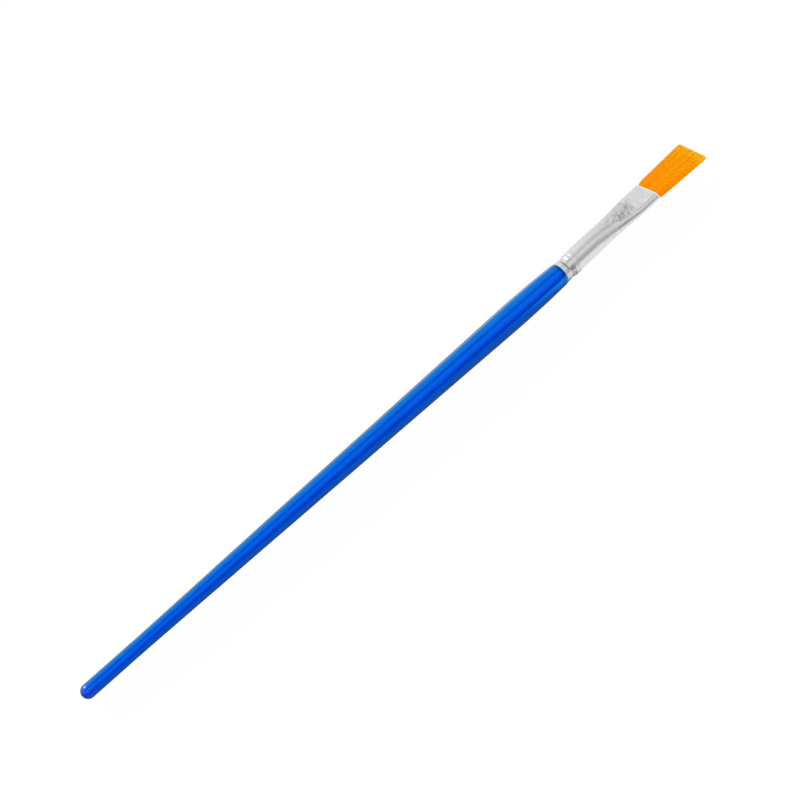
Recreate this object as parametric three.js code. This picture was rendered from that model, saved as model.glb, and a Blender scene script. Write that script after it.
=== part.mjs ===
// A flat paint brush with a long round handle, in millimetres.
//
// The brush lies along X, from the handle's tail at -X to the tuft's tip at +X. Z is the normal of the
// tuft's broad face and Y runs across its width. The origin is on the handle's axis, midway along the
// brush.
//
// Everything inside the ferrule is made the way the real head is made: each piece is turned round, and
// the ferrule, the glue, the thread and the tuft's root are then pressed flat together.

import * as THREE from "three";

// Lengths along the brush
const BRUSH_LENGTH = 200;
const HANDLE_LENGTH = 153.5; // tail to shoulder: the part of the handle that shows
const FERRULE_LENGTH = 31; // shoulder to mouth

// Handle
const TAIL_RADIUS = 1.78;
const TAIL_STRAIGHT = 20; // from the very end to where the taper starts
const TAPER_END_SETBACK = 30; // from the end of the straight taper to the shoulder
const TAPER_END_RADIUS = 2.94;
const BELLY_SETBACK = 15.5; // from the belly's crest, which the brush lies on, to the shoulder
const BELLY_RADIUS = 3.1;
const NECK_SETBACK = 6.5; // from where the belly starts to fall away to the shoulder
const NECK_RADIUS = 3.03;
const SHOULDER_RADIUS = 2.84;
const SHOULDER_EDGE_RADIUS = 2.55;
const SHOULDER_ROUND = 0.9;
const SHOULDER_DROP = 0.02; // how little the radius falls before the shoulder turns inwards
const SPIGOT_LENGTH = 8;
const SPIGOT_RADIUS = 2.34;
const SPIGOT_CHAMFER = 0.5;

// Ferrule: a thin tube, crimped on the spigot at one end and pressed flat at the other
const TUBE_RADIUS = 2.74;
const TUBE_WALL = 0.22;
const CUFF_RADIUS = 2.7;
const BAND_RADIUS = 2.79;
const SHOULDER_GAP = 0.1;
const GROOVE_SETBACK = 1.6; // shoulder to the middle of the crimp groove
const GROOVE_WIDTH = 0.5;
const GROOVE_DEPTH = 0.2;
const BAND_START = 3.1;
const BAND_END = 4.4;
const BAND_EDGE = 0.12;

// The press that flattens the head
const PRESS_START_SETBACK = 8.5; // shoulder to where the tube stops being round
const FLAT_LENGTH = 6; // the fully pressed stretch behind the mouth
const PRESS_EASE = 1.4; // above 1 the flattening starts gently and ends in a crease
const MOUTH_THICKNESS = 1.94;
const MOUTH_WIDTH = 7.5;
const LEAN_Y = 0.021; // the head stands a little out of line with the handle, by this slope
const LEAN_Z = 0.02;

// Tuft: a fixed root and a free end that bends about a line across the brush
const ROOT_LENGTH = 13.5; // inside the ferrule
const ROOT_OUTSIDE = 1.2; // beyond the mouth
const ROOT_RADIUS = 2.4;
const WAIST_RADIUS = 1.98;
const WAIST_START = 1;
const WAIST_LENGTH = 2.4;
const BEND_SETBACK = 2.3; // mouth to the bending line, 0.15 of the free length
const BEND_THICKNESS = 1.6;
const BEND_WIDTH = 7.1;
const TIP_THICKNESS = 0.7;
const TIP_WIDTH = 8.6;
const TUFT_SIDE_ROUND = 0.3;

// Thread and glue round the tuft's root
const THREAD_RADIUS = 0.15;
const THREAD_PITCH = 0.36;
const THREAD_TURNS = 4;
const THREAD_CLEARANCE = 0.08;
const GLUE_LENGTH = 4.2;
const GLUE_GAP = 0.3;
const GLUE_RADIUS = 2.38;
const GLUE_DISH = 0.8;
const GLUE_DISH_SPREAD = 0.7; // share of the radius over which the dish stays deep

// Fineness of the facets
const SIDES = 36; // a multiple of six, so that the press's corners fall on edges
const HANDLE_SIDES = 24; // turned by half a facet, so that the handle lies on a facet
const CURVE_STEPS = 5;
const PRESS_STEP = 2.1; // longest stretch between two sections that are pressed
const THREAD_SIDES = 3; // to a half turn
const THREAD_STEPS_PER_TURN = 12;

// Stations along X
const TAIL_X = -BRUSH_LENGTH / 2;
const TIP_X = BRUSH_LENGTH / 2;
const SHOULDER_X = TAIL_X + HANDLE_LENGTH;
const MOUTH_X = SHOULDER_X + FERRULE_LENGTH;
const PRESS_START_X = SHOULDER_X + PRESS_START_SETBACK;
const FLAT_START_X = MOUTH_X - FLAT_LENGTH;
const LEAN_START_X = SHOULDER_X + BAND_END;
const ROOT_START_X = MOUTH_X - ROOT_LENGTH;
const BEND_X = MOUTH_X + BEND_SETBACK;

const clamp = THREE.MathUtils.clamp;
const lerp = THREE.MathUtils.lerp;

// Materials

function handleMaterial() {
  return new THREE.MeshStandardMaterial({ color: 0x0059e2, roughness: 0.2, metalness: 0 });
}

function ferruleMaterial() {
  return new THREE.MeshStandardMaterial({ color: 0xd4d6d6, roughness: 0.3, metalness: 1 });
}

function nylonMaterial() {
  return new THREE.MeshStandardMaterial({ color: 0xff9100, roughness: 0.45, metalness: 0 });
}

function glueMaterial() {
  return new THREE.MeshStandardMaterial({ color: 0xd8b268, roughness: 0.25, metalness: 0 });
}

function threadMaterial() {
  return new THREE.MeshStandardMaterial({ color: 0xe9e4d6, roughness: 0.85, metalness: 0 });
}

// Turning and pressing

/** A solid of revolution about X, from an outline of (x, radius) that runs towards +X on the outside. */
function turn(outline, sides = SIDES, startAngle = 0) {
  const points = outline.getPoints(CURVE_STEPS).map(({ x, y }) => new THREE.Vector2(y, x));
  return new THREE.LatheGeometry(points, sides, startAngle).rotateZ(-Math.PI / 2);
}

/** How far the head is pressed at x: 0 where it is round and 1 where it is flat. */
function pressAt(x) {
  const share = clamp((x - PRESS_START_X) / (FLAT_START_X - PRESS_START_X), 0, 1);
  return share ** PRESS_EASE;
}

/**
 * Where a point of the round section goes when the press is fully shut. The third of the turn round the
 * top goes to the upper flat, the third round the bottom to the lower flat, and the rest to the two half
 * round edges. A point inside the wall keeps its depth under the outer surface.
 */
function flattened(y, z) {
  const depth = TUBE_RADIUS - Math.hypot(y, z);
  const halfThickness = Math.max(0, MOUTH_THICKNESS / 2 - depth);
  const halfFlat = (MOUTH_WIDTH - MOUTH_THICKNESS) / 2;
  const corner = Math.PI / 3;
  const fromTop = Math.atan2(Math.abs(y), z);
  if (fromTop <= corner) {
    return [Math.sign(y) * halfFlat * (fromTop / corner), halfThickness];
  }
  if (fromTop >= Math.PI - corner) {
    return [Math.sign(y) * halfFlat * ((Math.PI - fromTop) / corner), -halfThickness];
  }
  const roundEdge = (fromTop - corner) * 3;
  return [
    Math.sign(y) * (halfFlat + halfThickness * Math.sin(roundEdge)),
    halfThickness * Math.cos(roundEdge),
  ];
}

/** The head's centre line at x, as [y, z]. It climbs no further in Z where the head is fully flat. */
function headCentre(x) {
  const run = Math.max(0, x - LEAN_START_X);
  const rise = Math.max(0, Math.min(x, FLAT_START_X) - LEAN_START_X);
  return [LEAN_Y * run, LEAN_Z * rise];
}

/** Presses a turned solid flat in place and leans it with the head. */
function press(geometry) {
  const position = geometry.attributes.position;
  for (let i = 0; i < position.count; i += 1) {
    const x = position.getX(i);
    const y = position.getY(i);
    const z = position.getZ(i);
    const onAxis = Math.hypot(y, z) < 1e-6;
    const [flatY, flatZ] = onAxis ? [0, 0] : flattened(y, z);
    const [centreY, centreZ] = headCentre(x);
    position.setY(i, lerp(y, flatY, pressAt(x)) + centreY);
    position.setZ(i, lerp(z, flatZ, pressAt(x)) + centreZ);
  }
  return geometry;
}

/** Adds points to an outline from one x to another at a steady radius, close enough to be pressed. */
function runAlong(outline, fromX, toX, radius) {
  const steps = Math.ceil(Math.abs(toX - fromX) / PRESS_STEP);
  for (let i = 0; i <= steps; i += 1) {
    outline.lineTo(lerp(fromX, toX, i / steps), radius);
  }
}

// Sub-parts

/** The moulded handle: round tail, straight taper, belly, shoulder, and the spigot inside the ferrule. */
function handle() {
  const taperEndX = SHOULDER_X - TAPER_END_SETBACK;
  const shoulderStartX = SHOULDER_X - SHOULDER_ROUND;
  const spigotEndX = SHOULDER_X + SPIGOT_LENGTH;
  const grooveX = SHOULDER_X + GROOVE_SETBACK;
  const floorReach = GROOVE_WIDTH / 2;
  const rimReach = GROOVE_WIDTH;
  const outline = new THREE.Path();
  outline.absarc(TAIL_X + TAIL_RADIUS, 0, TAIL_RADIUS, Math.PI, Math.PI / 2, true);
  outline.lineTo(TAIL_X + TAIL_STRAIGHT, TAIL_RADIUS);
  outline.lineTo(taperEndX, TAPER_END_RADIUS);
  outline.lineTo(SHOULDER_X - BELLY_SETBACK, BELLY_RADIUS);
  outline.lineTo(SHOULDER_X - NECK_SETBACK, NECK_RADIUS);
  outline.lineTo(shoulderStartX, SHOULDER_RADIUS);
  outline.quadraticCurveTo(
    SHOULDER_X, SHOULDER_RADIUS - SHOULDER_DROP,
    SHOULDER_X, SHOULDER_EDGE_RADIUS,
  );
  outline.lineTo(SHOULDER_X, SPIGOT_RADIUS);
  outline.lineTo(grooveX - rimReach, SPIGOT_RADIUS);
  outline.lineTo(grooveX - floorReach, SPIGOT_RADIUS - GROOVE_DEPTH);
  outline.lineTo(grooveX + floorReach, SPIGOT_RADIUS - GROOVE_DEPTH);
  outline.lineTo(grooveX + rimReach, SPIGOT_RADIUS);
  outline.lineTo(spigotEndX - SPIGOT_CHAMFER, SPIGOT_RADIUS);
  outline.lineTo(spigotEndX, SPIGOT_RADIUS - SPIGOT_CHAMFER);
  outline.lineTo(spigotEndX, 0);
  return turn(outline, HANDLE_SIDES, Math.PI / HANDLE_SIDES);
}

/** The thin tube: cuff, crimp groove, smooth band, and the long stretch that is pressed flat. */
function ferrule() {
  const startX = SHOULDER_X + SHOULDER_GAP;
  const grooveX = SHOULDER_X + GROOVE_SETBACK;
  const boreRadius = TUBE_RADIUS - TUBE_WALL;
  const outline = new THREE.Path();
  outline.moveTo(startX, boreRadius);
  outline.lineTo(startX, CUFF_RADIUS);
  outline.lineTo(grooveX - GROOVE_WIDTH / 2, CUFF_RADIUS);
  outline.lineTo(grooveX, CUFF_RADIUS - GROOVE_DEPTH);
  outline.lineTo(grooveX + GROOVE_WIDTH / 2, CUFF_RADIUS);
  outline.lineTo(SHOULDER_X + BAND_START, CUFF_RADIUS);
  outline.lineTo(SHOULDER_X + BAND_START + BAND_EDGE, BAND_RADIUS);
  outline.lineTo(SHOULDER_X + BAND_END - BAND_EDGE, BAND_RADIUS);
  outline.lineTo(SHOULDER_X + BAND_END, TUBE_RADIUS);
  runAlong(outline, PRESS_START_X, FLAT_START_X, TUBE_RADIUS);
  outline.lineTo(MOUTH_X, TUBE_RADIUS);
  outline.lineTo(MOUTH_X, boreRadius);
  runAlong(outline, FLAT_START_X, PRESS_START_X, boreRadius);
  outline.lineTo(grooveX + GROOVE_WIDTH / 2, boreRadius);
  outline.lineTo(grooveX, boreRadius - GROOVE_DEPTH);
  outline.lineTo(grooveX - GROOVE_WIDTH / 2, boreRadius);
  outline.lineTo(startX, boreRadius);
  return press(turn(outline));
}

/** The plug of set glue behind the tuft, dished on the handle's side. */
function glue() {
  const endX = ROOT_START_X - GLUE_GAP;
  const startX = endX - GLUE_LENGTH;
  const outline = new THREE.Path();
  outline.moveTo(startX + GLUE_DISH, 0);
  outline.quadraticCurveTo(
    startX + GLUE_DISH, GLUE_RADIUS * GLUE_DISH_SPREAD,
    startX, GLUE_RADIUS,
  );
  runAlong(outline, startX, endX, GLUE_RADIUS);
  outline.lineTo(endX, 0);
  return press(turn(outline));
}

/** The fixed part of the nylon bundle, with a waist where the thread is wound. */
function tuftRoot() {
  const waistX = ROOT_START_X + WAIST_START;
  const waistEndX = waistX + WAIST_LENGTH;
  const endX = MOUTH_X + ROOT_OUTSIDE;
  const outline = new THREE.Path();
  outline.moveTo(ROOT_START_X, 0);
  outline.lineTo(ROOT_START_X, WAIST_RADIUS);
  outline.lineTo(waistX, WAIST_RADIUS);
  outline.lineTo(waistEndX, WAIST_RADIUS);
  runAlong(outline, waistEndX + WAIST_START, FLAT_START_X, ROOT_RADIUS);
  outline.lineTo(endX, ROOT_RADIUS);
  outline.lineTo(endX, 0);
  return press(turn(outline));
}

/** The line that the thread is wound along, before the press: turns about X, one pitch apart. */
class Winding extends THREE.Curve {
  constructor(startX, radius) {
    super();
    this.startX = startX;
    this.radius = radius;
  }

  getPoint(t, target = new THREE.Vector3()) {
    const turns = t * THREAD_TURNS;
    const angle = turns * 2 * Math.PI;
    return target.set(
      this.startX + turns * THREAD_PITCH,
      this.radius * Math.cos(angle),
      this.radius * Math.sin(angle),
    );
  }
}

/** The thread wound round the tuft's waist. */
function thread() {
  const startX = ROOT_START_X + WAIST_START + (WAIST_LENGTH - THREAD_TURNS * THREAD_PITCH) / 2;
  const radius = WAIST_RADIUS + THREAD_CLEARANCE + THREAD_RADIUS;
  const section = new THREE.Shape();
  section.absarc(0, 0, THREAD_RADIUS, 0, 2 * Math.PI);
  return press(
    new THREE.ExtrudeGeometry(section, {
      extrudePath: new Winding(startX, radius),
      steps: THREAD_TURNS * THREAD_STEPS_PER_TURN,
      curveSegments: THREAD_SIDES,
    }),
  );
}

/**
 * The free part of the bundle, drawn about its bending line: a chisel seen from the side, half round at
 * the bending line, that widens from there to the square tip and goes on leaning with the head.
 */
function tuftTip() {
  const reach = TIP_X - BEND_X;
  const side = new THREE.Shape();
  side.absarc(0, 0, BEND_THICKNESS / 2, Math.PI / 2, (3 * Math.PI) / 2);
  side.lineTo(reach, -TIP_THICKNESS / 2);
  side.lineTo(reach, TIP_THICKNESS / 2);
  side.closePath();
  const geometry = new THREE.ExtrudeGeometry(side, {
    depth: BEND_WIDTH - 2 * TUFT_SIDE_ROUND,
    steps: 1,
    curveSegments: CURVE_STEPS,
    bevelThickness: TUFT_SIDE_ROUND,
    bevelSize: TUFT_SIDE_ROUND,
    bevelOffset: -TUFT_SIDE_ROUND,
    bevelSegments: 2,
  });
  geometry.translate(0, 0, TUFT_SIDE_ROUND - BEND_WIDTH / 2);
  geometry.rotateX(Math.PI / 2);
  const position = geometry.attributes.position;
  for (let i = 0; i < position.count; i += 1) {
    const along = Math.max(0, position.getX(i));
    const flare = lerp(1, TIP_WIDTH / BEND_WIDTH, along / reach);
    position.setY(i, position.getY(i) * flare + LEAN_Y * along);
    position.setZ(i, position.getZ(i) + LEAN_Z * along);
  }
  return geometry;
}

// The assembly

function subPart(name, geometry, material) {
  const mesh = new THREE.Mesh(geometry, material);
  mesh.name = name;
  return mesh;
}

const brush = new THREE.Group();
brush.add(subPart("handle", handle(), handleMaterial()));
brush.add(subPart("ferrule", ferrule(), ferruleMaterial()));
brush.add(subPart("glue_plug", glue(), glueMaterial()));
brush.add(subPart("binding_thread", thread(), threadMaterial()));
brush.add(subPart("tuft_root", tuftRoot(), nylonMaterial()));

const freeTuft = new THREE.Group();
const [bendY, bendZ] = headCentre(BEND_X);
freeTuft.position.set(BEND_X, bendY, bendZ);
freeTuft.add(subPart("tuft_tip", tuftTip(), nylonMaterial()));
brush.add(freeTuft);

export default brush;
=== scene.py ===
"""A flat paint brush for Blender 4.5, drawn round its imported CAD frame.

Lengths are millimetres along the frame's own axes: X runs from the handle's tail to the tuft's tip, Z is the
normal of the tuft's broad face and Y runs across its width. Meshes are written in metres. An angle round the
brush is counted from +Z towards +Y.
"""

import math

import bpy
import numpy as np
from mathutils import Matrix, Vector


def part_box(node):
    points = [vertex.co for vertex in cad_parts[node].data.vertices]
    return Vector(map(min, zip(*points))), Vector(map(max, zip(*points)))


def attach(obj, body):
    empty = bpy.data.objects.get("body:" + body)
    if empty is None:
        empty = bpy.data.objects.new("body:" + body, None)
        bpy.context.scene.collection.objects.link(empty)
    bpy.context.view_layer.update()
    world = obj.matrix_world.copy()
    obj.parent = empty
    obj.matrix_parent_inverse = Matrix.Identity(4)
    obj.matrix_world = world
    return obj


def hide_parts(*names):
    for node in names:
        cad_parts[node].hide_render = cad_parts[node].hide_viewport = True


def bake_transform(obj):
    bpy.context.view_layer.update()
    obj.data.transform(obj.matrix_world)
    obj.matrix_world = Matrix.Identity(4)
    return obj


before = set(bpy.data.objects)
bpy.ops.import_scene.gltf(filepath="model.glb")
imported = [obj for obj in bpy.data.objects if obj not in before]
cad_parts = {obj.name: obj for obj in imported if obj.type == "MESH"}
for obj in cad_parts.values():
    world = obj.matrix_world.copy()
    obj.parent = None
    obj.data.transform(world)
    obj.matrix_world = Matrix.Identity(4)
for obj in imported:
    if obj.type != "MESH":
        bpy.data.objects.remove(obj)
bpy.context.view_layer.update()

MM = 0.001


def ends(node):
    """Where a CAD node starts and ends along X."""
    low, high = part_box(node)
    return low.x / MM, high.x / MM


# Stations along X, from the frame
TAIL_X, SPIGOT_END_X = ends("handle")
TUBE_X, TUBE_END_X = ends("ferrule")
GLUE_X, GLUE_END_X = ends("glue_plug")
THREAD_X, THREAD_END_X = ends("binding_thread")
ROOT_X = ends("tuft_root")[0]
TIP_X = ends("tuft_tip")[1]
SHOULDER_X = TUBE_X + 0.1
MOUTH_X = TUBE_END_X - 0.2

# Handle
TAIL_RADIUS = 1.78
TAPER_X = TAIL_X + 20.0
SHOULDER_ROUND = 0.9
BELLY = ((30.0, 2.99), (15.5, 3.18), (6.5, 3.075), (SHOULDER_ROUND, 2.86))  # (setback from shoulder, radius)
OUTLINE_BLUR = 2.0
WAVINESS = 0.006
SHOULDER_EDGE_RADIUS = 2.55
SPIGOT_RADIUS = 2.34
SPIGOT_BEVEL = 0.5
CAP_SHINE_X, BODY_SHINE_X = TAIL_X + 1.6, TAIL_X + 3.6  # the round tail shines more than the body
SHADED_FOOT_X, SHADED_FOOT_END_X = SHOULDER_X - 1.7, SHOULDER_X - 0.3  # painted shade darkens the handle here, by the ferrule

# Ferrule, round part
TUBE_RADIUS = 2.76
TUBE_WALL = 0.22
CUFF_X = SHOULDER_X + 0.03
CUFF_RADIUS = 2.7
GROOVE_X = SHOULDER_X + 1.6
GROOVE_DEPTH = 0.2
GROOVE_WIDTHS = (0.2, 0.5)  # before and after its lowest line
DENT_X = SHOULDER_X + 2.35
DENT_COUNT = 11
BAND_X = SHOULDER_X + 2.95
BEAD_X = SHOULDER_X + 4.1
BEAD_HEIGHT = 0.05
BEAD_WIDTHS = (0.11, 0.4)  # before and after its crest

# Ferrule, pressed part
PRESS_X = SHOULDER_X + 8.3
FLAT_X = MOUTH_X - 5.8
PRESS_EASE = 1.9
PRESS_SOFTNESS = 0.25
MOUTH_THICKNESS = 2.2
MOUTH_WIDTH = 7.45
HALF_FLAT = (MOUTH_WIDTH - MOUTH_THICKNESS) / 2
FLAT_TURN = math.pi / 3  # each flat takes this much of the round tube, either way from its middle
EDGE_POINT = 1.2  # 1 for half round edges; above that they come to a blunt nose
SKEW_X = MOUTH_X - 6.0
MOUTH_SKEW = -0.05  # how far the mouth is cut out of square, by width
CREASE_X = FLAT_X - 1.3
CREASE_DEPTH = 0.032
WRINKLE_COUNT = 260
WRINKLE_SIZE = (0.13, 0.42)
WRINKLE_SLOPE = 0.14 / 0.45  # greatest height by size
NICK_DEPTH = 0.045
NICKS = ((2.3, -1.2, 0.45, 0.9), (6.0, -1.3, 0.3, 1.2), (4.4, 1.1, 0.35, -0.6))
LIP_ROUND = 0.05
LIP_FLARE = 0.012

# The head stands a little out of line with the handle: a step at the crimp, then a steady lean
KINK_X = SHOULDER_X + 2.0
KINK_END_X = KINK_X + 5.0
KINK_Y, KINK_Z = 0.147, 0.135
LEAN_X = KINK_X + 2.4
LEAN_Y, LEAN_Z = 0.0165, 0.0146
TUFT_LEAN_Y = 0.007

# Tuft; its sections are (width, thickness)
STRAND_ROWS = 16
STRAND_COLUMNS = 68
STRAND_SIDES = 5
STRAND_RADIUS = 0.064
STRAND_TIP_RADIUS = 0.044
STRAND_WANDER = (0.05, 0.02)  # how far a strand strays by its tip, across and up
STRAND_WAVE = (0.012, 0.008)
LOCK_SWAY = 0.018
RAGGEDNESS = 0.24  # of the cut
WAIST_RADIUS = 1.9
ROOT_RADIUS = 2.36
TUFT_MOUTH = (6.85, 1.5)
TUFT_SWELL_X = MOUTH_X + 0.9
TUFT_SWELL = (7.6, 1.9)
TUFT_TIP = (8.88, 0.9)

# Glue and thread
GLUE_RADIUS = 2.36
GLUE_DISH = 0.75
WINDING_TURNS = 4
WINDING_RADIUS = 2.21
PLY_RADIUS = 0.078
PLY_TWIST = 13  # turns of the plies about each other to one turn of the winding

rng = np.random.default_rng(7)


# Small mathematics


def ease(value, start, end):
    """0 before start, 1 after end, and smooth in between."""
    share = np.clip((value - start) / (end - start), 0.0, 1.0)
    return share * share * (3.0 - 2.0 * share)


def hump(value, centre, width):
    """A bell of height 1; width is its standard deviation."""
    return np.exp(-0.5 * ((value - centre) / width) ** 2)


def uneven_hump(value, centre, width_before, width_after):
    """A bell that is wider on one side of its centre than on the other."""
    return np.where(value < centre, hump(value, centre, width_before), hump(value, centre, width_after))


def round_angles(count):
    """Angles in even steps round a circle."""
    return np.arange(count) * 2 * math.pi / count


def turned_by(angle, centre):
    """The angle from centre to angle, the short way round."""
    return (angle - centre + math.pi) % (2 * math.pi) - math.pi


def stretch(*parts):
    """Stations along X from (start, end, count) parts that follow each other."""
    return np.concatenate([np.linspace(start, end, count, endpoint=False) for start, end, count in parts])


# The press that flattens the head


def press_at(x):
    """How far the head is pressed: 0 where it is round and 1 where it is flat. The crease is softened."""
    total = 0.0
    steps = (-PRESS_SOFTNESS, 0.0, PRESS_SOFTNESS)
    for step in steps:
        share = np.clip((x + step - PRESS_X) / (FLAT_X - PRESS_X), 0.0, 1.0)
        total = total + share**PRESS_EASE
    return total / len(steps)


def head_centre(x):
    """Y and Z of the head's centre line. The flat part leans in its own plane only."""
    kink = ease(x, KINK_X, KINK_END_X)
    y = KINK_Y * kink + LEAN_Y * np.maximum(0.0, x - LEAN_X)
    z = KINK_Z * kink + LEAN_Z * np.maximum(0.0, np.minimum(x, FLAT_X) - LEAN_X)
    return y, z


def skew(x, y):
    """How far a point moves along X because the head leans and its mouth is cut a little askew."""
    return -LEAN_Y * y * ease(x, KINK_X, KINK_END_X) + MOUTH_SKEW * y * ease(x, SKEW_X, MOUTH_X)


def flattened(y, z):
    """Where a point of the round section goes when the press is shut: top and bottom thirds of the turn go
    to the flats, the rest to the edges, and each point keeps its depth under the skin."""
    half_thickness = np.maximum(0.0, MOUTH_THICKNESS / 2 - (TUBE_RADIUS - np.hypot(y, z)))
    from_top = np.arctan2(np.abs(y), z)
    flat_share = np.minimum(from_top, math.pi - from_top) / FLAT_TURN
    round_edge = np.clip(from_top - FLAT_TURN, 0.0, FLAT_TURN) * 3
    rise = np.cos(round_edge)
    nose_y = HALF_FLAT + half_thickness * np.sin(round_edge) ** EDGE_POINT
    nose_z = half_thickness * np.sign(rise) * np.abs(rise) ** EDGE_POINT
    on_flat = flat_share <= 1.0
    flat_y = np.where(on_flat, HALF_FLAT * flat_share, nose_y)
    flat_z = np.where(on_flat, half_thickness * np.sign(z), nose_z)
    return np.sign(y) * flat_y, flat_z


def press(points):
    """Presses round-section points flat in place and leans them with the head."""
    x, y, z = points[..., 0], points[..., 1], points[..., 2]
    share = press_at(x)
    flat_y, flat_z = flattened(y, z)
    pressed_y = y + (flat_y - y) * share
    pressed_z = z + (flat_z - z) * share
    centre_y, centre_z = head_centre(x)
    return np.stack([x + skew(x, pressed_y), pressed_y + centre_y, pressed_z + centre_z], axis=-1)


# Meshes


def rings(stations, radii, sides):
    """Points of a round skin, one ring to a station. radii holds one radius to a ring or to a point."""
    angle = round_angles(sides)
    radii = np.broadcast_to(np.asarray(radii).reshape(len(stations), -1), (len(stations), sides))
    x = np.broadcast_to(np.asarray(stations)[:, None], radii.shape)
    return np.stack([x, radii * np.sin(angle), radii * np.cos(angle)], axis=-1)


def skin_faces(ring_count, sides, closed):
    """Quads between neighbouring rings; closed joins the last ring to the first."""
    ring = np.arange(ring_count if closed else ring_count - 1)[:, None]
    side = np.arange(sides)[None, :]
    after = (ring + 1) % ring_count
    beside = (side + 1) % sides
    corners = [ring * sides + side, after * sides + side, after * sides + beside, ring * sides + beside]
    return np.stack(np.broadcast_arrays(*corners), axis=-1).reshape(-1, 4).tolist()


def rod_faces(ring_count, sides):
    """A skin and the flat caps at its two ends."""
    last = ring_count * sides - 1
    caps = [list(range(sides)), list(range(last, last - sides, -1))]
    return skin_faces(ring_count, sides, closed=False) + caps


def shifted(faces, by):
    """The same faces on points that stand further down the list."""
    return [[corner + by for corner in face] for face in faces]


def add_mesh(name, points, faces, material, sharp_degrees=40):
    """A new smooth-shaded object from points in millimetres."""
    mesh = bpy.data.meshes.new(name)
    mesh.from_pydata((points.reshape(-1, 3) * MM).tolist(), [], faces)
    mesh.materials.append(material)
    mesh.shade_smooth()
    mesh.set_sharp_from_angle(angle=math.radians(sharp_degrees))
    piece = bpy.data.objects.new(name, mesh)
    bpy.context.scene.collection.objects.link(piece)
    return piece


def add_spindle(name, grid, start, end, material):
    """A solid from rings of points, closed by a point at each end."""
    ring_count, sides, _ = grid.shape
    points = np.concatenate([grid.reshape(-1, 3), [start, end]])
    faces = skin_faces(ring_count, sides, closed=False)
    first, last = ring_count * sides, (ring_count - 1) * sides
    for side in range(sides):
        beside = (side + 1) % sides
        faces.append([first, side, beside])
        faces.append([first + 1, last + beside, last + side])
    return add_mesh(name, points, faces, material)


def mark(piece, name, values):
    """Stores one number at each point of a piece, for its material to read."""
    attribute = piece.data.attributes.new(name, "FLOAT", "POINT")
    attribute.data.foreach_set("value", values.astype(np.float32))


def stand_in(piece, node):
    """Makes a rigid piece ride with the brush, in place of a CAD node."""
    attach(piece, "brush")
    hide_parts(node)


# Materials


class Nodes:
    """A node tree, with short calls for the nodes used here."""

    def __init__(self, tree):
        self.tree = tree
        self.nodes = tree.nodes

    def link(self, output, socket):
        self.tree.links.new(output, socket)

    def node(self, kind, inputs=(), **settings):
        """Adds a node; inputs is {socket: a value or an output to link}."""
        made = self.nodes.new(kind)
        for key, value in settings.items():
            setattr(made, key, value)
        for key, value in dict(inputs).items():
            if isinstance(value, bpy.types.NodeSocket):
                self.link(value, made.inputs[key])
            else:
                made.inputs[key].default_value = value
        return made

    def maths(self, operation, first, second):
        return self.node("ShaderNodeMath", {0: first, 1: second}, operation=operation).outputs[0]

    def spread(self, value, low, high, to_low=0.0, to_high=1.0, **settings):
        """Maps low..high of a value to to_low..to_high."""
        inputs = {"Value": value, "From Min": low, "From Max": high, "To Min": to_low, "To Max": to_high}
        return self.node("ShaderNodeMapRange", inputs, **settings).outputs["Result"]

    def mix(self, share, first, second):
        """A colour between first and second."""
        return self.node("ShaderNodeMix", {0: share, 6: first, 7: second}, data_type="RGBA").outputs[2]

    def xyz(self, kind):
        """X, Y and Z of one kind of texture coordinates, which are in metres if the kind is Object."""
        coordinates = self.node("ShaderNodeTexCoord").outputs[kind]
        return self.node("ShaderNodeSeparateXYZ", {0: coordinates}).outputs


class Surface(Nodes):
    """A material built round one Principled shader."""

    def __init__(self, name, **inputs):
        self.material = bpy.data.materials.new(name)
        self.material.use_nodes = True
        super().__init__(self.material.node_tree)
        self.shader = self.nodes["Principled BSDF"]
        for key, value in inputs.items():
            self.shader.inputs[key.replace("_", " ")].default_value = value

    def set(self, name, output):
        """Drives one input of the Principled shader."""
        self.link(output, self.shader.inputs[name])

    def noise(self, stretch_by, detail=2.0, roughness=0.5):
        """Noise of about one feature to stretch_by millimetres, along each axis."""
        scale = [1 / (MM * by) for by in stretch_by]
        coordinates = self.node("ShaderNodeTexCoord").outputs["Object"]
        place = self.node("ShaderNodeMapping", {"Vector": coordinates, "Scale": scale}).outputs["Vector"]
        inputs = {"Vector": place, "Scale": 1.0, "Detail": detail, "Roughness": roughness}
        return self.node("ShaderNodeTexNoise", inputs).outputs["Fac"]

    def attribute(self, name):
        return self.node("ShaderNodeAttribute", attribute_name=name).outputs["Fac"]

    def between(self, coordinate, start, end, at_start=0.0, at_end=1.0):
        """Goes from at_start to at_end between two places on a coordinate of the object."""
        return self.spread(coordinate, start * MM, end * MM, at_start, at_end)

    def bump(self, height, depth, strength):
        inputs = {"Height": height, "Distance": depth * MM, "Strength": strength}
        self.set("Normal", self.node("ShaderNodeBump", inputs).outputs["Normal"])

    def metal(self, colour, roughness):
        """A second shader, all metal."""
        inputs = {"Metallic": 1.0, "Base Color": colour, "Roughness": roughness}
        return self.node("ShaderNodeBsdfPrincipled", inputs)

    def blend(self, share, first, second):
        """A shader between first and second."""
        return self.node("ShaderNodeMixShader", {0: share, 1: first, 2: second}).outputs[0]

    def show(self, shader):
        """Puts a shader in the Principled one's place on the surface."""
        self.link(shader, self.nodes["Material Output"].inputs["Surface"])


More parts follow.
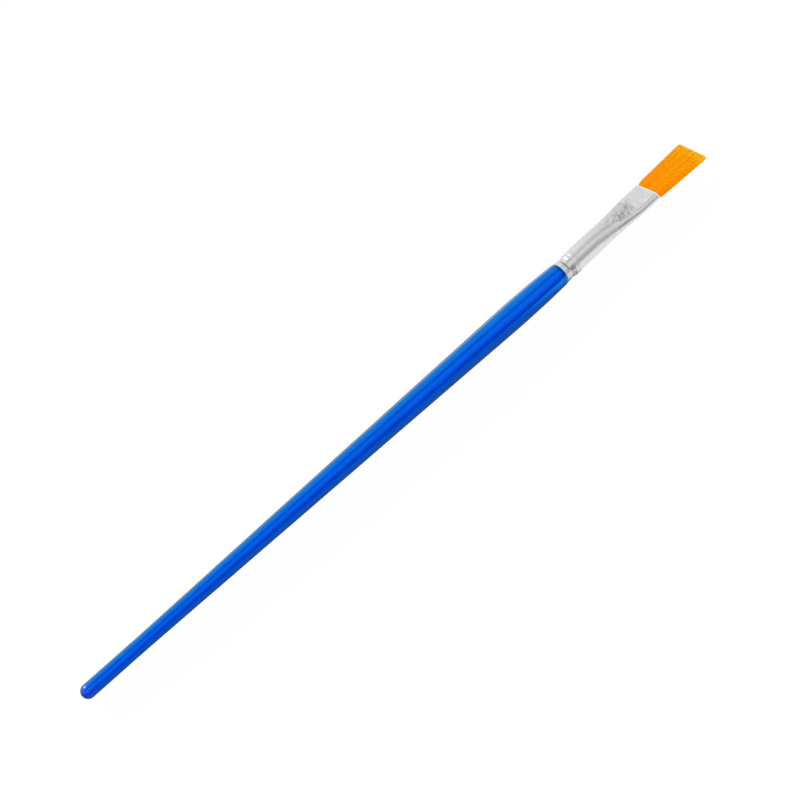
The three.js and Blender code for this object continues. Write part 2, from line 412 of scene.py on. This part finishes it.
def handle_plastic():
    """Bright blue gloss plastic with faint flow marks from the moulding: a deep blue body under a lively blue
    gleam, with a pale glaze where it is seen edge on. The round tail shines more, and the foot by the ferrule
    carries painted shade: a darker body and less gleam."""
    surface = Surface("handle_plastic", Specular_Tint=(0.0, 0.3, 1.0, 1.0))
    along = surface.xyz("Object")["X"]
    flow = surface.spread(surface.noise((14.0, 0.9, 0.9), detail=3.0), 0.3, 0.7)
    cloud = surface.noise((4.0, 2.0, 2.0))
    roughness = surface.spread(cloud, 0.3, 0.7, 0.17, 0.22)
    # Painted shade: the foot by the ferrule is darkened and its gleam weakened, where the ferrule's rim would
    # shade it.
    painted_foot_shade = surface.between(along, SHADED_FOOT_X, SHADED_FOOT_END_X, 0.0, 0.65)
    deep = surface.mix(flow, (0.0, 0.001, 0.6, 1), (0.0, 0.004, 0.67, 1))
    surface.set("Base Color", surface.mix(painted_foot_shade, deep, (0.0, 0.004, 0.12, 1)))
    surface.set("Roughness", roughness)
    surface.bump(surface.noise((1.6, 0.8, 0.8)), 0.004, 0.5)

    gleam = surface.metal(surface.mix(flow, (0.0, 0.43, 0.95, 1), (0.0, 0.47, 1.0, 1)), roughness)
    coat = surface.between(along, CAP_SHINE_X, BODY_SHINE_X, 0.5, 0.04)
    for shader in (surface.shader, gleam):
        surface.link(coat, shader.inputs["Coat Weight"])
        shader.inputs["Coat Roughness"].default_value = 0.2
    facing = surface.node("ShaderNodeLayerWeight").outputs["Facing"]
    share = surface.spread(facing, 0.07, 0.27, 0.33, 0.6)
    share = surface.maths("MULTIPLY", share, surface.between(along, CAP_SHINE_X, BODY_SHINE_X, 0.75, 1.0))
    share = surface.maths("MULTIPLY", share, surface.spread(painted_foot_shade, 0.0, 1.0, 1.0, 0.6))
    glaze = surface.metal((0.66, 0.98, 1, 1), 0.25)
    edge = surface.spread(facing, 0.43, 0.74, 0.0, 0.5)
    body = surface.blend(share, surface.shader.outputs[0], gleam.outputs[0])
    surface.show(surface.blend(edge, body, glaze.outputs[0]))
    return surface.material


def ferrule_aluminium():
    """Bright aluminium: drawing lines along the tube, fine handling marks and a faint cloudiness. It is dull
    and grainy where the press stretched it, brightest at the crimp, and matt on the cut edge of the mouth,
    whose near-white colour is a painted highlight."""
    surface = Surface("ferrule_aluminium")
    dulled, lip, crimped = (surface.attribute(name) for name in ("dulled", "lip", "crimped"))
    drawn = surface.noise((9.0, 0.12, 0.12), detail=3.0)
    cloud = surface.noise((1.6, 0.9, 0.9), detail=3.0)
    grain = surface.noise((0.5, 0.22, 0.22), detail=3.0, roughness=0.7)
    colour = surface.mix(surface.spread(cloud, 0.3, 0.7), (0.83, 0.84, 0.84, 1), (0.92, 0.925, 0.92, 1))
    grainy = surface.maths("MULTIPLY", surface.spread(grain, 0.42, 0.62), dulled)
    colour = surface.mix(grainy, colour, (0.74, 0.755, 0.77, 1))
    # The matt cut edge of the mouth takes a near-white colour, a painted highlight.
    surface.set("Base Color", surface.mix(lip, colour, (0.98, 0.97, 0.95, 1)))

    away_from_lip = surface.spread(lip, 0.0, 1.0, 1.0, 0.2)
    metallic = surface.maths("MULTIPLY", away_from_lip, surface.spread(crimped, 0.0, 1.0, 0.82, 1.0))
    surface.set("Metallic", metallic)
    roughness = surface.spread(drawn, 0.3, 0.7, 0.3, 0.4)
    for place, smoothness in ((crimped, 0.65), (dulled, 0.7)):
        roughness = surface.maths("MULTIPLY", roughness, surface.spread(place, 0.0, 1.0, 1.0, smoothness))
    surface.set("Roughness", roughness)
    marks = surface.maths("ADD", drawn, surface.noise((0.5, 0.35, 0.35)))
    surface.bump(marks, 0.012, 0.5)
    return surface.material


def tuft_nylon():
    """Orange nylon filament that some light shines through: deeper at the root, yellower at the fine tip."""
    tint = (1.0, 0.6, 0.05, 1.0)
    surface = Surface("tuft_nylon", Roughness=0.6, Specular_IOR_Level=0.12, Specular_Tint=tint)
    along = surface.attribute("along")
    tone = surface.attribute("tone")
    body = surface.mix(surface.spread(along, 0.0, 0.9), (1.0, 0.33, 0.0, 1), (1.0, 0.43, 0.0, 1))
    body = surface.mix(surface.spread(tone, 0.0, 1.0, 0.0, 0.3), body, (1.0, 0.55, 0.0, 1))
    colour = surface.mix(surface.spread(along, 0.8, 1.0), body, (1.0, 0.63, 0.01, 1))
    surface.set("Base Color", colour)
    glow = surface.node("ShaderNodeBsdfTranslucent", {"Color": colour})
    share = surface.spread(along, 0.0, 1.0, 0.36, 0.3)
    surface.show(surface.blend(share, surface.shader.outputs[0], glow.outputs[0]))
    return surface.material


def root_glue():
    """Set glue, amber and cloudy."""
    surface = Surface("root_glue", Roughness=0.2, Coat_Weight=0.4)
    cloud = surface.noise((0.8, 0.8, 0.8), detail=3.0)
    surface.set("Base Color", surface.mix(cloud, (0.6, 0.38, 0.1, 1), (0.78, 0.56, 0.22, 1)))
    surface.bump(cloud, 0.05, 0.6)
    return surface.material


def thread_cotton():
    """Undyed cotton thread with its loose fibres."""
    surface = Surface("thread_cotton", Roughness=0.85, Sheen_Weight=0.4)
    fibre = surface.noise((0.25, 0.05, 0.05), detail=3.0)
    surface.set("Base Color", surface.mix(fibre, (0.62, 0.58, 0.48, 1), (0.86, 0.83, 0.74, 1)))
    surface.bump(fibre, 0.02, 0.7)
    return surface.material


# Handle


def handle_radius(x):
    """Radius of the handle's taper, belly and neck, with the corners of the outline smoothed away."""
    corners_x = [TAIL_X, TAPER_X] + [SHOULDER_X - setback for setback, _ in BELLY]
    corners_radius = [TAIL_RADIUS, TAIL_RADIUS] + [radius for _, radius in BELLY]
    window = np.linspace(-2 * OUTLINE_BLUR, 2 * OUTLINE_BLUR, 17)
    weights = hump(window, 0.0, OUTLINE_BLUR)
    offsets = window * ease(SHOULDER_X - x, 0.0, 6.0)[:, None]
    return np.interp(x[:, None] + offsets, corners_x, corners_radius) @ (weights / weights.sum())


def handle_body():
    """The moulded handle: round tail, taper, belly, rounded shoulder, and the spigot in the ferrule."""
    sides = 128
    cap = np.linspace(0.04, math.pi / 2, 26)
    cap_x = TAIL_X + TAIL_RADIUS * (1 - np.cos(cap))
    belly_x = SHOULDER_X - 32.0
    round_x = SHOULDER_X - SHOULDER_ROUND
    body_x = stretch(
        (TAIL_X + TAIL_RADIUS + 0.2, TAPER_X, 24),
        (TAPER_X, belly_x, 110),
        (belly_x, round_x, 90),
    )
    turn = np.linspace(0.0, math.pi / 2, 14)
    _, neck = BELLY[-1]
    shoulder_x = round_x + SHOULDER_ROUND * np.sin(turn)
    shoulder_radius = SHOULDER_EDGE_RADIUS + (neck - SHOULDER_EDGE_RADIUS) * np.cos(turn)
    spigot_x = stretch((SHOULDER_X, SPIGOT_END_X - SPIGOT_BEVEL, 40))
    spigot_radius = SPIGOT_RADIUS - GROOVE_DEPTH * hump(spigot_x, GROOVE_X, 0.3)
    stations = np.concatenate([cap_x, body_x, shoulder_x, spigot_x, [SPIGOT_END_X]])
    cap_radius = TAIL_RADIUS * np.sin(cap)
    end_radius = [SPIGOT_RADIUS - SPIGOT_BEVEL]
    radii = np.concatenate([cap_radius, handle_radius(body_x), shoulder_radius, spigot_radius, end_radius])

    angle = round_angles(sides)
    oval = np.sin(stations * 0.31)[:, None] * np.sin(2 * angle + 0.6)
    three_sided = np.sin(stations * 0.13 + 1)[:, None] * np.sin(3 * angle)
    moulded = ease(stations, TAIL_X + 1, TAIL_X + 12) * ease(SHOULDER_X - stations, 0, 2)
    radii = radii[:, None] + WAVINESS * (oval + three_sided) * moulded[:, None]
    grid = rings(stations, radii, sides)
    piece = add_spindle("handle_body", grid, (TAIL_X, 0, 0), (SPIGOT_END_X, 0, 0), handle_plastic())
    stand_in(piece, "handle")


# Ferrule


def crimp_dents(x, angle):
    """Depth of the crimping tool's dents, a row of uneven ones round the tube."""
    depth = np.zeros(np.broadcast_shapes(x.shape, angle.shape))
    for place in range(DENT_COUNT):
        centre = (place + rng.uniform(-0.3, 0.3)) * 2 * math.pi / DENT_COUNT
        deep = rng.uniform(0.1, 0.21)
        along = hump(x, DENT_X + rng.uniform(-0.15, 0.15), rng.uniform(0.22, 0.34))
        across = hump(turned_by(angle, centre) * TUBE_RADIUS, 0.0, rng.uniform(0.25, 0.42))
        depth = depth + deep * along * across
    return depth


def press_wrinkles(x, angle):
    """Height of the small wrinkles and dimples that the press leaves where the tube turns flat."""
    height = np.zeros(np.broadcast_shapes(x.shape, angle.shape))
    for _ in range(WRINKLE_COUNT):
        size = rng.uniform(*WRINKLE_SIZE)
        centre_x = rng.normal(FLAT_X - 3.4, 2.4)
        centre = rng.uniform(0, 2 * math.pi)
        tall = rng.uniform(-WRINKLE_SLOPE, WRINKLE_SLOPE) * size
        across = hump(turned_by(angle, centre) * TUBE_RADIUS, 0.0, size)
        height = height + tall * hump(x, centre_x, size * rng.uniform(0.8, 2.2)) * across
    on_faces = ease(np.abs(np.cos(angle)), 0.25, 0.6)
    return height * on_faces * ease(x, PRESS_X + 3, PRESS_X + 8) * ease(MOUTH_X - x, 0.3, 2.5)


def nicks(x, angle):
    """Depth of three short scratches from handling. Each has its setback from the mouth, its place across,
    half its length and its lean in radians."""
    depth = np.zeros(np.broadcast_shapes(x.shape, angle.shape))
    place = angle * HALF_FLAT / FLAT_TURN
    for setback, across, half_length, lean in NICKS:
        step_x = x - (MOUTH_X - setback)
        step_y = turned_by(place, across)
        run = step_x * math.cos(lean) + step_y * math.sin(lean)
        aside = step_y * math.cos(lean) - step_x * math.sin(lean)
        depth = depth + NICK_DEPTH * hump(run, 0.0, half_length) * hump(aside, 0.0, 0.1)
    return depth


def tube_skin(x, angle):
    """Radius of the ferrule's outer skin before the press."""
    radius = CUFF_RADIUS + (TUBE_RADIUS - CUFF_RADIUS) * ease(x, BAND_X - 0.15, BAND_X + 0.15)
    bead = BEAD_HEIGHT * uneven_hump(x, BEAD_X, *BEAD_WIDTHS)
    groove = GROOVE_DEPTH * uneven_hump(x, GROOVE_X, *GROOVE_WIDTHS)
    marks = crimp_dents(x, angle) + nicks(x, angle) - press_wrinkles(x, angle)
    crease = CREASE_DEPTH * hump(x, CREASE_X + np.sin(angle), 0.24)
    lip = LIP_ROUND * (1 - ease(MOUTH_X - x, 0.0, 0.14)) - LIP_FLARE * hump(x, MOUTH_X - 0.3, 0.15)
    return radius + bead - groove - marks - crease - lip


def ferrule_tube():
    """The thin tube, outside and inside: cuff, groove, dents, band, and the stretch pressed flat."""
    sides = 252
    outer_parts = stretch(
        (CUFF_X, GROOVE_X - 0.7, 8),
        (GROOVE_X - 0.7, BAND_X + 0.3, 46),
        (BAND_X + 0.3, BEAD_X - 0.7, 4),
        (BEAD_X - 0.7, BEAD_X + 0.5, 26),
        (BEAD_X + 0.5, PRESS_X + 3, 18),
        (PRESS_X + 3, MOUTH_X - 0.4, 150),
        (MOUTH_X - 0.4, MOUTH_X, 12),
    )
    inner_parts = stretch(
        (MOUTH_X, PRESS_X, 30),
        (PRESS_X, GROOVE_X + 0.6, 8),
        (GROOVE_X + 0.6, CUFF_X, 14),
    )
    outer_x = np.append(outer_parts, MOUTH_X)
    inner_x = np.append(inner_parts, CUFF_X)
    angle = turned_by(round_angles(sides)[None, :], 0.0)
    outer = rings(outer_x, tube_skin(outer_x[:, None], angle), sides)
    inner = rings(inner_x, TUBE_RADIUS - TUBE_WALL - GROOVE_DEPTH * hump(inner_x, GROOVE_X, 0.2), sides)
    grid = press(np.concatenate([outer, inner]))
    faces = skin_faces(len(grid), sides, closed=True)
    piece = add_mesh("ferrule_tube", grid, faces, ferrule_aluminium())

    stations = np.concatenate([outer_x, inner_x])
    stretched = ease(stations, CREASE_X - 7.5, CREASE_X - 4.5) * ease(CREASE_X + 0.8 - stations, 0.0, 1.0)
    # The mouth's cut edge: matt, and painted near-white as a highlight.
    cut_edge_and_highlight = ease(stations, MOUTH_X - 0.24, MOUTH_X - 0.1)
    squeezed = ease(stations, GROOVE_X - 0.7, GROOVE_X - 0.2) * ease(BAND_X + 0.5 - stations, 0.0, 0.8)
    for name, values in (("dulled", stretched), ("lip", cut_edge_and_highlight), ("crimped", 0.55 * squeezed)):
        mark(piece, name, np.repeat(values, sides))
    stand_in(piece, "ferrule")


# Tuft


def tuft_section(x):
    """Half width and half thickness of the pressed bundle at x."""
    stations = [MOUTH_X, TUFT_SWELL_X, TIP_X]
    widths, thicknesses = zip(TUFT_MOUTH, TUFT_SWELL, TUFT_TIP)
    return np.interp(x, stations, widths) / 2, np.interp(x, stations, thicknesses) / 2


def strand_places():
    """Each strand's place across and up the bundle, -1 to 1, and how far along X it reaches."""
    rows, columns = np.meshgrid(
        np.linspace(-1, 1, STRAND_ROWS),
        np.linspace(-1, 1, STRAND_COLUMNS),
        indexing="ij",
    )
    count = rows.size
    up = np.clip(rows.ravel() + rng.normal(0, 0.3 / STRAND_ROWS, count), -0.97, 0.97)
    stagger = (np.arange(STRAND_ROWS) % 2 - 0.5)[:, None] / STRAND_COLUMNS
    across = (columns * (1 - 1 / STRAND_COLUMNS) + stagger).ravel()
    across = np.clip(across + rng.normal(0, 0.4 / STRAND_COLUMNS, count), -1, 1)
    reach = TIP_X - np.abs(rng.normal(0, RAGGEDNESS, count))
    return across, up, reach


def strand_stations(reach):
    """Stations of each strand: the same ones inside the ferrule, then evenly out to its own tip."""
    steps = np.array([0, 4, 10, 17, 23])
    inside = ROOT_X + (MOUTH_X - ROOT_X) * steps / steps[-1]
    outside = MOUTH_X + np.linspace(0.0, 1.0, 11)[1:] * (reach[:, None] - MOUTH_X)
    return np.concatenate([np.broadcast_to(inside, (len(reach), len(inside))), outside], axis=1)


def strand_lines(across, up, x):
    """Centre lines of the strands: a bundle that is round at the root, pressed flat with the ferrule,
    and fans out to the tip."""
    half_width, half_thickness = tuft_section(x)
    side, lift = across[:, None], up[:, None]
    nose = 2 / EDGE_POINT
    end_round = half_thickness * (1 - np.abs(lift) ** nose) ** (1 / nose)
    flat_y = side * (half_width - half_thickness + end_round)
    flat_z = lift * half_thickness
    round_radius = WAIST_RADIUS + (ROOT_RADIUS - WAIST_RADIUS) * ease(x, ROOT_X + 3, ROOT_X + 6)
    round_y = round_radius * side * np.sqrt(1 - lift**2 / 2)
    round_z = round_radius * lift * np.sqrt(1 - side**2 / 2)
    share = press_at(x)
    y = round_y + (flat_y - round_y) * share
    z = round_z + (flat_z - round_z) * share
    beyond = np.maximum(0.0, x - MOUTH_X)
    centre_y, centre_z = head_centre(x)
    centre_y = centre_y + (TUFT_LEAN_Y - LEAN_Y) * beyond
    centre_z = centre_z + LEAN_Z * beyond
    return x + skew(x, y) * 0.45, y + centre_y, z + centre_z


def ruffled(y, z, across, free):
    """Strays every strand a little from its line towards the tip, and sways neighbours into locks."""
    wander = rng.normal(0, 1, (2, len(y), 1))
    phase = rng.uniform(0, 2 * math.pi, (2, len(y), 1))
    wave_y = STRAND_WAVE[0] * free * np.sin(5 * free + phase[0])
    wave_z = STRAND_WAVE[1] * free * np.sin(4 * free + phase[1])
    y = y + STRAND_WANDER[0] * free**1.5 * wander[0] + wave_y
    z = z + STRAND_WANDER[1] * free**1.5 * wander[1] + wave_z
    lock = np.sin(across * 43.0 + 1.3) + 0.6 * np.sin(across * 71.0)
    return y + LOCK_SWAY * free**2 * lock[:, None], z


def strand_skins(x, y, z, free):
    """Points round the strands' centre lines, ring by ring; the strands taper."""
    count = len(x)
    radius = STRAND_RADIUS + (STRAND_TIP_RADIUS - STRAND_RADIUS) * free
    radius = radius * rng.uniform(0.9, 1.1, (count, 1))
    radius[:, -1] *= 0.6
    turn = round_angles(STRAND_SIDES) + rng.uniform(0, 2 * math.pi, (count, 1, 1))
    skin_x = np.broadcast_to(x[..., None], (*x.shape, STRAND_SIDES))
    skin_y = y[..., None] + radius[..., None] * np.sin(turn)
    skin_z = z[..., None] + radius[..., None] * np.cos(turn)
    return np.stack([skin_x, skin_y, skin_z], axis=-1)


def tuft_filaments():
    """The bundle, strand by strand: each a tapering filament from inside the ferrule to the cut tip."""
    across, up, reach = strand_places()
    x, y, z = strand_lines(across, up, strand_stations(reach))
    free = np.clip((x - MOUTH_X) / (TIP_X - MOUTH_X), 0, 1)
    y, z = ruffled(y, z, across, free)
    points = strand_skins(x, y, z, free)
    count, ring_count = x.shape
    size = ring_count * STRAND_SIDES
    one_strand = rod_faces(ring_count, STRAND_SIDES)
    faces = []
    for strand in range(count):
        faces += shifted(one_strand, strand * size)
    piece = add_mesh("tuft_filaments", points, faces, tuft_nylon(), sharp_degrees=80)
    mark(piece, "along", np.repeat(free.ravel(), STRAND_SIDES))
    mark(piece, "tone", np.repeat(rng.uniform(0, 1, count), size))
    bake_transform(piece)
    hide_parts("tuft_root", "tuft_tip")


# Inside the ferrule


def glue_plug():
    """The plug of set glue behind the bundle, hollowed by shrinkage on the handle's side."""
    sides = 96
    share = np.linspace(0.05, 1.0, 12)
    front_share = np.linspace(1.0, 0.05, 10)
    back_x = GLUE_X + GLUE_DISH * (1 - share**2.4)
    side_x = stretch((GLUE_X + 0.1, GLUE_END_X, 16))
    stations = np.concatenate([back_x, side_x, np.full(len(front_share), GLUE_END_X)])
    radii = GLUE_RADIUS * np.concatenate([share, np.ones(len(side_x)), front_share])
    grid = press(rings(stations, radii, sides))
    off_axis = 1e-4  # the press has no direction on the axis itself
    centres = press(np.array([[GLUE_X + GLUE_DISH, 0, off_axis], [GLUE_END_X, 0, off_axis]]))
    piece = add_spindle("root_glue", grid, *centres, root_glue())
    stand_in(piece, "glue_plug")


def thread_winding():
    """Two plies twisted together and wound round the bundle's waist."""
    sides = 8
    count = WINDING_TURNS * 72
    share = np.linspace(0, 1, count)
    around = share * WINDING_TURNS * 2 * math.pi
    inset = 2 * PLY_RADIUS
    x = THREAD_X + inset + share * (THREAD_END_X - THREAD_X - 2 * inset)
    corner = round_angles(sides)
    points, faces = [], []
    for ply in (0, 1):
        twist = around * PLY_TWIST + ply * math.pi
        line_x = x + PLY_RADIUS * np.cos(twist)
        line_radius = WINDING_RADIUS + PLY_RADIUS * np.sin(twist)
        ring_x = line_x[:, None] + PLY_RADIUS * np.cos(corner)
        ring_radius = line_radius[:, None] + PLY_RADIUS * np.sin(corner)
        ring_y = ring_radius * np.sin(around)[:, None]
        ring_z = ring_radius * np.cos(around)[:, None]
        points.append(press(np.stack([ring_x, ring_y, ring_z], axis=-1)).reshape(-1, 3))
        faces += shifted(rod_faces(count, sides), ply * count * sides)
    piece = add_mesh("thread_winding", np.concatenate(points), faces, thread_cotton())
    stand_in(piece, "binding_thread")


# Stage

FLOOR_DEPTH = 10.0  # well below the brush, with room under the tuft
FLOOR_HALF_SIDE = 10000.0

# Brightness of the studio by angle round the brush: 0 is the near horizon, 90 overhead, 180 the far horizon
STUDIO = (
    (-180, 0.95),
    (-8, 0.4),
    (-2, 0.08),
    (12, 0.08),
    (22, 0.2),
    (32, 0.38),
    (44, 0.56),
    (56, 0.68),
    (70, 0.7),
    (82, 0.24),
    (91, 0.24),
    (103, 0.6),
    (120, 0.61),
    (150, 0.58),
    (180, 0.58),
)
PLAIN_LIGHT = 1.42

AXIS_TURN = math.radians(21.0)  # the tail is nearer the camera than the tip
ROLL = math.radians(42.5)  # the broad face is turned towards the camera's upper left
SLOPE = math.radians(41.43)  # of the brush in the picture
CAMERA_DISTANCE = 1200.0
LENS, SENSOR = 236.3, 36.0
AIM_RIGHT, AIM_UP = 0.42, 3.89


def floor():
    """A plain pale floor, lit from below as a light table is. The brush's gloss sees it darkened by painted
    shade: most under the handle, where a painted shadow strip of the brush lies, less under the head, and
    fading towards the viewer."""
    corners = [(x * FLOOR_HALF_SIDE, y * FLOOR_HALF_SIDE) for x, y in ((-1, -1), (1, -1), (1, 1), (-1, 1))]
    mesh = bpy.data.meshes.new("floor")
    mesh.from_pydata([(x * MM, y * MM, -FLOOR_DEPTH * MM) for x, y in corners], [], [[0, 1, 2, 3]])
    surface = Surface("floor", Roughness=0.9, Specular_IOR_Level=0.0)
    surface.shader.inputs["Base Color"].default_value = (0.06, 0.06, 0.06, 1)
    surface.shader.inputs["Emission Color"].default_value = (1, 1, 1, 1)
    ray = surface.node("ShaderNodeLightPath").outputs
    place = surface.xyz("Object")
    # Painted shade and shadow, seen only in gloss: dimmer under the handle than under the head and near the
    # viewer, with a painted shadow strip under the handle.
    gloss_shade_under_handle = surface.between(place["X"], SHOULDER_X + 1, SHOULDER_X + 10, 0.19, 0.68)
    gloss_shade_near_viewer = surface.between(place["Y"], -130, -40, 0.3, 1.0)
    shadow_near_edge = surface.between(place["Y"], -12, -4, 1.0, 0.05)
    shadow_far_edge = surface.between(place["Y"], 12, 30, 0.05, 1.0)
    past_handle = surface.between(place["X"], SHOULDER_X + 4, SHOULDER_X + 9)
    outside_painted_shadow = surface.maths("MAXIMUM", surface.maths("MAXIMUM", shadow_near_edge, shadow_far_edge), past_handle)
    in_gloss = surface.maths("MULTIPLY", surface.maths("MULTIPLY", gloss_shade_under_handle, gloss_shade_near_viewer), outside_painted_shadow)
    plain = surface.spread(ray["Is Diffuse Ray"], 0.0, 1.0, 0.92, 1.0)
    light = surface.node("ShaderNodeMix", {0: ray["Is Glossy Ray"], 2: plain, 3: in_gloss}).outputs[0]
    surface.set("Emission Strength", light)
    mesh.materials.append(surface.material)
    plane = bpy.data.objects.new("floor", mesh)
    bpy.context.scene.collection.objects.link(plane)


def studio():
    """Soft boxes and the gaps between them, as bands of the world that gloss picks up, dimmer towards the
    tip. All else is lit by a plain pale world."""
    world = bpy.data.worlds.new("studio")
    world.use_nodes = True
    bpy.context.scene.world = world
    sky = Nodes(world.node_tree)
    direction = sky.xyz("Generated")
    near = sky.maths("MULTIPLY", direction["Y"], -1.0)
    angle = sky.maths("ARCTAN2", direction["Z"], near)
    ramp = sky.node("ShaderNodeValToRGB", {"Fac": sky.spread(angle, -math.pi, math.pi)})
    elements = ramp.color_ramp.elements
    while len(elements) < len(STUDIO):
        elements.new(0.5)
    for element, (degrees, light) in zip(elements, STUDIO):
        element.position = (degrees + 180) / 360
        element.color = (light, light, light, 1)
    dimming = sky.spread(direction["X"], 0.44, 0.8, 1.0, 0.12, interpolation_type="SMOOTHSTEP")
    inputs = {0: ramp.outputs["Color"], "Scale": dimming}
    bands = sky.node("ShaderNodeVectorMath", inputs, operation="SCALE").outputs["Vector"]
    in_gloss = sky.node("ShaderNodeLightPath").outputs["Is Glossy Ray"]
    seen = sky.mix(in_gloss, (PLAIN_LIGHT, PLAIN_LIGHT, PLAIN_LIGHT, 1), bands)
    sky.link(seen, sky.nodes["Background"].inputs["Color"])


def lamp(name, direction, distance, size, power):
    """A square area light that faces the brush and shows only in its gloss."""
    light = bpy.data.lights.new(name, "AREA")
    light.size = size * MM
    light.energy = power
    holder = bpy.data.objects.new(name, light)
    towards = Vector(direction).normalized()
    holder.location = towards * (distance * MM)
    holder.rotation_euler = towards.to_track_quat("Z", "Y").to_euler()
    holder.visible_diffuse = False
    bpy.context.scene.collection.objects.link(holder)


def camera():
    """The camera at the photograph's viewing angle."""
    axis = Vector((1, 0, 0))
    across = Vector((0, -math.cos(ROLL), -math.sin(ROLL)))
    facing = Vector((0, -math.sin(ROLL), math.cos(ROLL)))
    back = facing * math.cos(AXIS_TURN) - axis * math.sin(AXIS_TURN)
    along = axis * math.cos(AXIS_TURN) + facing * math.sin(AXIS_TURN)
    right = along * math.cos(SLOPE) + across * math.sin(SLOPE)
    up = along * math.sin(SLOPE) - across * math.cos(SLOPE)
    place = back * CAMERA_DISTANCE + right * AIM_RIGHT + up * AIM_UP
    data = bpy.data.cameras.new("camera")
    data.lens = LENS
    data.sensor_width = SENSOR
    data.clip_start, data.clip_end = 0.05, 50.0
    holder = bpy.data.objects.new("camera", data)
    turn = Matrix((right, up, back)).transposed().to_4x4()
    holder.matrix_world = Matrix.Translation(place * MM) @ turn
    bpy.context.scene.collection.objects.link(holder)
    bpy.context.scene.camera = holder


handle_body()
ferrule_tube()
tuft_filaments()
glue_plug()
thread_winding()
floor()
studio()
lamp("key", direction=(-0.19, 0.65, 0.74), distance=1200.0, size=460.0, power=6)
camera()
bpy.context.scene.view_settings.view_transform = "Standard"
